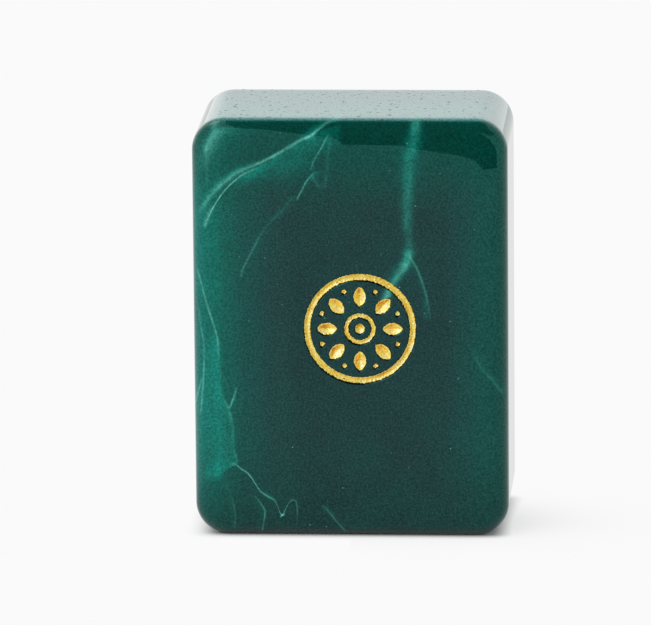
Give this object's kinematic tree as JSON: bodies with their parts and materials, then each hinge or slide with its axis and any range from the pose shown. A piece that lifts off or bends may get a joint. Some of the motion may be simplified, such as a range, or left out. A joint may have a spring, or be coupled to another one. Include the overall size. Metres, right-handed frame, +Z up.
{
  "type": "mahjong tile",
  "caption": "Upright block-shaped playing tile of marbled resin with rounded corners and a gold-lined engraved rosette on its face.",
  "frame": {"origin": "middle of the foot, the short edge that the tile stands on", "axes": "+Z up along the tile's height, -Y out of the decorated face, +X to the right of that face"},
  "size_m": [0.0222, 0.013, 0.03],
  "materials": {
    "marbled_resin": "polished marbled resin, slightly translucent",
    "gold_paint": "gold pigment paint, satin and slightly grainy"
  },
  "bodies": {
    "root": {"tile_body": "marbled_resin", "gold_outer_ring": "gold_paint", "gold_inner_ring": "gold_paint", "gold_dot": "gold_paint", "gold_petal_1": "gold_paint", "gold_petal_2": "gold_paint", "gold_petal_3": "gold_paint", "gold_petal_4": "gold_paint", "gold_petal_5": "gold_paint", "gold_petal_6": "gold_paint", "gold_petal_7": "gold_paint", "gold_petal_8": "gold_paint", "gold_bead_1": "gold_paint", "gold_bead_2": "gold_paint", "gold_bead_3": "gold_paint", "gold_bead_4": "gold_paint", "gold_bead_5": "gold_paint", "gold_bead_6": "gold_paint", "gold_bead_7": "gold_paint", "gold_bead_8": "gold_paint"}
  },
  "joints": []
}
